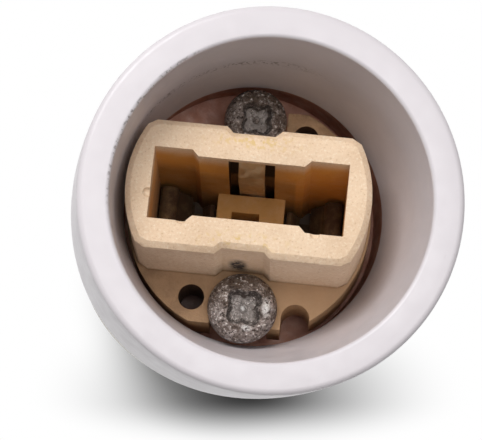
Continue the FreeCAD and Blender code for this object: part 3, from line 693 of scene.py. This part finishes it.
def makeHolder():
    c = ceramic
    piece = copyOfNode("socket_body", "ceramic_holder")
    toHolder = holderPlace.inverted()
    for corner in piece.data.vertices:
        place = (toHolder @ corner.co) / mm
        inSlot = abs(place.x) < c["slotHalf"][0] and abs(place.y) < c["slotHalf"][1]
        if inSlot or place.z < c["faceHeight"] - c["chamfer"] - c["slack"]:
            continue
        if place.z > c["faceHeight"] - c["slack"]:
            place.x *= 1 - c["inset"] / c["blockHalf"][0]
            place.y *= 1 - c["inset"] / c["blockHalf"][1]
        else:
            place.z -= c["drop"]
        corner.co = holderPlace @ (place * mm)
    softEdges(piece, c["edge"], c["edgeSegments"], c["edgeAngle"])
    for x, y, size in c["chips"]:
        clearSelection()
        centre = holderPlace @ (Vector((x, y, c["faceHeight"] + c["chipRise"])) * mm)
        bpy.ops.mesh.primitive_ico_sphere_add(subdivisions=2, radius=size * mm, location=centre)
        cutWith(piece, bpy.context.object)
    smoothTo(piece, c["smooth"])
    settle(piece, steatite)
    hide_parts("socket_body")


# screw shell: the collar's large faces decide the shading round the small punches
shellSizes = {"smooth": 30, "faceWeight": 100}


def makeShell():
    piece = copyOfNode("screw_shell", "threaded_shell", joinFaces=False)
    smoothTo(piece, shellSizes["smooth"])
    weighted = piece.modifiers.new("weighted", "WEIGHTED_NORMAL")
    weighted.weight = shellSizes["faceWeight"]
    weighted.keep_sharp = True
    applyAll(piece)
    settle(piece, platedShell)
    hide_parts("screw_shell")


# glass insulator: the shell's lip lies on it, and a hair's gap keeps the two faces apart
glassSizes = {"rimRadius": 8.0, "gap": 0.08, "smooth": 38}


def makeGlass():
    piece = copyOfNode("shell_insulator", "glass_insulator")
    for corner in piece.data.vertices:
        reach = corner.co.xy.length / mm
        if reach > glassSizes["rimRadius"]:
            corner.co.xy *= 1 - glassSizes["gap"] / reach
    smoothTo(piece, glassSizes["smooth"])
    settle(piece, darkGlass)
    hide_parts("shell_insulator")


# pieces that keep their built shape: the sheet metal ones have their edges softened
dressSizes = {"contactEdge": 0.05, "springEdge": 0.04, "edgeSegments": 2, "edgeAngle": 50, "smooth": 38}


def dress(nodeName, pieceName, material, edge=0.0):
    piece = copyOfNode(nodeName, pieceName)
    if edge:
        softEdges(piece, edge, dressSizes["edgeSegments"], dressSizes["edgeAngle"])
    smoothTo(piece, dressSizes["smooth"])
    settle(piece, material)
    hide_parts(nodeName)


# mounting screws: a domed head with a worn cross recess over a plain shank
screwSizes = {
    "heads": {"lower": 5.6, "upper": 5.1},
    "heightShare": 0.38, "sideShare": 0.12,    # of the head's diameter
    "shank": 2.9, "length": 10.0, "point": 1.2, "pointRadius": 0.3, "seatBevel": 0.12,
    "axisRadius": 0.01, "axisMerge": 0.03,     # rings on the axis that close into one corner
    "domePower": 2.4,                          # 2 is a round dome, more is a flatter one
    "domeRings": (0.10, 0.22, 0.36, 0.5, 0.63, 0.74, 0.83, 0.90, 0.955, 0.99),
    "recess": 0.22, "nub": 0.06,               # depth and height, of the head's diameter
    "toolRise": 0.3,                           # of the recess tool above the head
    "mouthStar": (0.27, 0.35),                 # reach of the lands and of the arms
    "floorStar": (0.135, 0.225),
    "nubStars": ((0.07, 0.07), (0.03, 0.03)),
    "starPower": 1.6,                          # more makes the arms narrower
    "paintedShadeSide": {"lower": 0.55, "upper": 0.85},
    "paintedGlintShare": {"lower": 1.0, "upper": 0.0},
    "around": 64, "starPoints": 48,
    "edge": 0.10, "edgeSegments": 3, "edgeAngle": 40, "smooth": 40,
}


def makeRecessTool(diameter, top, centre):
    # worn cross on the diagonals, its four lands bulging inwards, with a nub on its floor
    s = screwSizes
    clearSelection()
    bpy.ops.mesh.primitive_circle_add(vertices=s["starPoints"], radius=mm, fill_type="NGON",
                                      location=centre + Vector((0, 0, (top + s["toolRise"]) * mm)))
    tool = bpy.context.object
    startEdit(tool)
    for step in (-diameter * s["recess"] - s["toolRise"], 0, diameter * s["nub"]):
        bpy.ops.mesh.extrude_region_move(TRANSFORM_OT_translate={"value": (0, 0, step * mm)})
    endEdit()
    # ring by ring, the plain circles take the star's outline
    stars = (s["mouthStar"], s["floorStar"], *s["nubStars"])
    for corner in tool.data.vertices:
        land, arm = stars[corner.index // s["starPoints"]]
        angle = math.atan2(corner.co.y, corner.co.x)
        corner.co.xy *= diameter * (land + (arm - land) * abs(math.sin(2 * angle)) ** s["starPower"])
    startEdit(tool)
    bpy.ops.mesh.normals_make_consistent(inside=False)
    endEdit()
    return tool


def makeScrew(which):
    s = screwSizes
    nodeName = "mounting_screw_" + which
    diameter = s["heads"][which]
    radius = diameter / 2
    height = diameter * s["heightShare"]
    edge = diameter * s["sideShare"]
    lowest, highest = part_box(nodeName)
    centre = Vector(((lowest.x + highest.x) / 2, (lowest.y + highest.y) / 2, 0))
    seat = lowest.z / mm + s["length"]
    head = seat + height
    tip = seat - s["length"]
    dome = [(radius * share, seat + edge + (height - edge) * math.sqrt(1 - share ** s["domePower"]))
            for share in s["domeRings"]]
    outline = [(s["axisRadius"], head)] + dome + [
        (radius, seat + edge),
        (radius, seat + s["seatBevel"]),
        (radius - s["seatBevel"], seat),
        (s["shank"] / 2, seat),
        (s["shank"] / 2, tip + s["point"]),
        (s["pointRadius"], tip),
        (s["axisRadius"], tip),
    ]
    piece = lathe("screw_" + which, outline, s["around"], closed=False)
    closeMesh(piece, s["axisMerge"] * mm)
    piece.location = centre
    bpy.ops.object.transform_apply(location=True, rotation=True, scale=True)
    cutWith(piece, makeRecessTool(diameter, head, centre))
    softEdges(piece, s["edge"], s["edgeSegments"], s["edgeAngle"])
    smoothTo(piece, s["smooth"])
    steel = makeScrewSteel(which + "ScrewSteel", centre, diameter, seat, s["paintedShadeSide"][which], s["paintedGlintShare"][which])
    settle(piece, steel)
    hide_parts(nodeName)


makeSleeve()
makeScrew("lower")
makeScrew("upper")
dress("core_moulding", "core", brownPhenolic)
makeHolder()
dress("socket_back_plate", "holder_back_plate", backPlate)
for side in ("left", "right"):
    dress("contact_" + side, side + "_contact", contactMetal, dressSizes["contactEdge"])
dress("bulb_spring", "spring_strip", springSteel, dressSizes["springEdge"])
makeShell()
makeGlass()
dress("tip_contact", "tip_cap", tipMetal)
dress("tip_solder", "tip_bead", solder)
for end in ("centre", "shell"):
    dress("lead_" + end + "_core", end + "_wire", tinnedWire)
    dress("lead_" + end + "_sleeve", end + "_wire_sleeve", leadSleeve)
print("pieces made")


# floor, light and camera
stage = {
    "floorSize": 3.0,                          # metres
    "shadowCentre": (1.0, -4.0),               # mm on the floor
    "shadowStart": 6.5, "shadowEnd": 14.5,     # mm from there, where the floor's shadow fades
    # a shadow is painted on the floor in front of the cup
    "paintedShadowCentre": (5.3, -13.3), "paintedShadowTurn": 6.2, "paintedShadowDark": 0.93, "paintedShadowPower": 1.3,
    "paintedShadowReach": 22.0, "paintedShadowFront": 5.2, "paintedShadowBack": 11.0,   # mm to its ends, in front and behind
    "unseenTone": (0.80, 0.80, 0.80),          # of the floor for the rays that only bring light
    "ambient": 0.22,
}


def seenShare(tree):
    # 1 for the rays that show the backdrop: straight, in a reflection or through a piece
    rays = tree.nodes.new("ShaderNodeLightPath")
    indirect = sums(tree, "MAXIMUM", rays.outputs["Is Glossy Ray"], rays.outputs["Is Transmission Ray"])
    return sums(tree, "MAXIMUM", rays.outputs["Is Camera Ray"], indirect)


def makeFloor():
    s = stage
    clearSelection()
    bpy.ops.mesh.primitive_plane_add(size=s["floorSize"], location=(0, 0, 0))
    floor = bpy.context.object
    floor.name = "floor"
    material, tree, shader = newMaterial("paleFloor", 0.9)
    shader.inputs["Specular IOR Level"].default_value = 0.0
    seen = seenShare(tree)
    # the floor is lit and keeps the shadow near the foot: further out it turns into the white backdrop
    place = inMm(tree)
    fromShadow = radiusFromAxis(tree, onEllipse(tree, place, s["shadowCentre"], 0, (1, 1)))
    away = ease(tree, fromShadow, s["shadowStart"], s["shadowEnd"])
    # painted shadow: a thin strip of the floor in front of the cup is darker, and fades back to the foot
    onPaintedShadow = onEllipse(tree, place, s["paintedShadowCentre"], s["paintedShadowTurn"], (s["paintedShadowReach"], 1))
    along, across = axes(tree, onPaintedShadow)[:2]
    across = sums(tree, "MAXIMUM", sums(tree, "DIVIDE", across, s["paintedShadowBack"]),
                  sums(tree, "DIVIDE", across, -s["paintedShadowFront"]))
    squares = sums(tree, "MULTIPLY_ADD", along, along, times(tree, across, across))
    inPaintedShadow = ease(tree, sums(tree, "SQRT", squares), 1.0, 0.0)
    inPaintedShadow = sums(tree, "POWER", inPaintedShadow, s["paintedShadowPower"])
    bright = sums(tree, "MULTIPLY_ADD", inPaintedShadow, -s["paintedShadowDark"], 1.0)
    lit = times(tree, sums(tree, "SUBTRACT", 1.0, away), bright)
    litTone = mixed(tree, lit, (0.0, 0.0, 0.0), (1.0, 1.0, 1.0))
    tree.links.new(mixed(tree, seen, s["unseenTone"], litTone), shader.inputs["Base Color"])
    shader.inputs["Emission Color"].default_value = (1, 1, 1, 1)
    tree.links.new(times(tree, seen, times(tree, away, bright)), shader.inputs["Emission Strength"])
    floor.data.materials.append(material)


def makeWorld():
    world = bpy.data.worlds.new("studio")
    bpy.context.scene.world = world
    world.use_nodes = True
    tree = world.node_tree
    background = tree.nodes["Background"]
    strength = sums(tree, "MULTIPLY_ADD", seenShare(tree), 1 - stage["ambient"], stage["ambient"])
    tree.links.new(strength, background.inputs["Strength"])
    background.inputs["Color"].default_value = (1, 1, 1, 1)


# area lamps that look into the mouth: metres and watts
lampTarget = (0, 0, 0.045)
lamps = {
    "keyLamp": {"place": (-0.17, 0.21, 0.38), "size": 0.22, "watts": 1.35},
    "topLamp": {"place": (0.02, 0.03, 0.48), "size": 0.22, "watts": 0.55},
}


def addLamp(name):
    place = lamps[name]["place"]
    clearSelection()
    bpy.ops.object.light_add(type="AREA", location=place)
    lamp = bpy.context.object
    lamp.name = name
    lamp.data.size = lamps[name]["size"]
    lamp.data.energy = lamps[name]["watts"]
    lamp.rotation_euler = (Vector(lampTarget) - Vector(place)).to_track_quat("-Z", "Y").to_euler()


view = {
    "toCamera": Vector((-0.1021, -0.1161, 0.9880)),   # from the rim's centre
    "up": Vector((-0.1086, 0.9941, 0)),
    "distance": 0.200,                                # metres
    "pixelsPerMm": 13.079,                            # at the rim
    "frame": (482, 440),
    "rimCentre": (272.6, 198.8),                      # pixel, from the top left
    "sensorWidth": 36, "clipStart": 0.01,             # mm, metres
}


def makeCamera():
    v = view
    data = bpy.data.cameras.new("camera")
    camera = bpy.data.objects.new("camera", data)
    bpy.context.scene.collection.objects.link(camera)
    back = v["toCamera"].normalized()
    right = v["up"].cross(back).normalized()
    upward = back.cross(right)
    turn = Matrix((right, upward, back)).transposed().to_4x4()
    rim = Vector((0, 0, cup["mouth"] * mm))
    camera.matrix_world = Matrix.Translation(rim + back * v["distance"]) @ turn
    width, height = v["frame"]
    data.sensor_width = v["sensorWidth"]
    data.lens = v["pixelsPerMm"] * v["distance"] / mm / width * data.sensor_width
    data.shift_x = -(v["rimCentre"][0] - width / 2) / width
    data.shift_y = (v["rimCentre"][1] - height / 2) / width
    data.clip_start = v["clipStart"]
    bpy.context.scene.camera = camera


makeFloor()
makeWorld()
for lampName in lamps:
    addLamp(lampName)
makeCamera()
bpy.context.scene.view_settings.view_transform = "Standard"
print("stage, lamps and camera set")
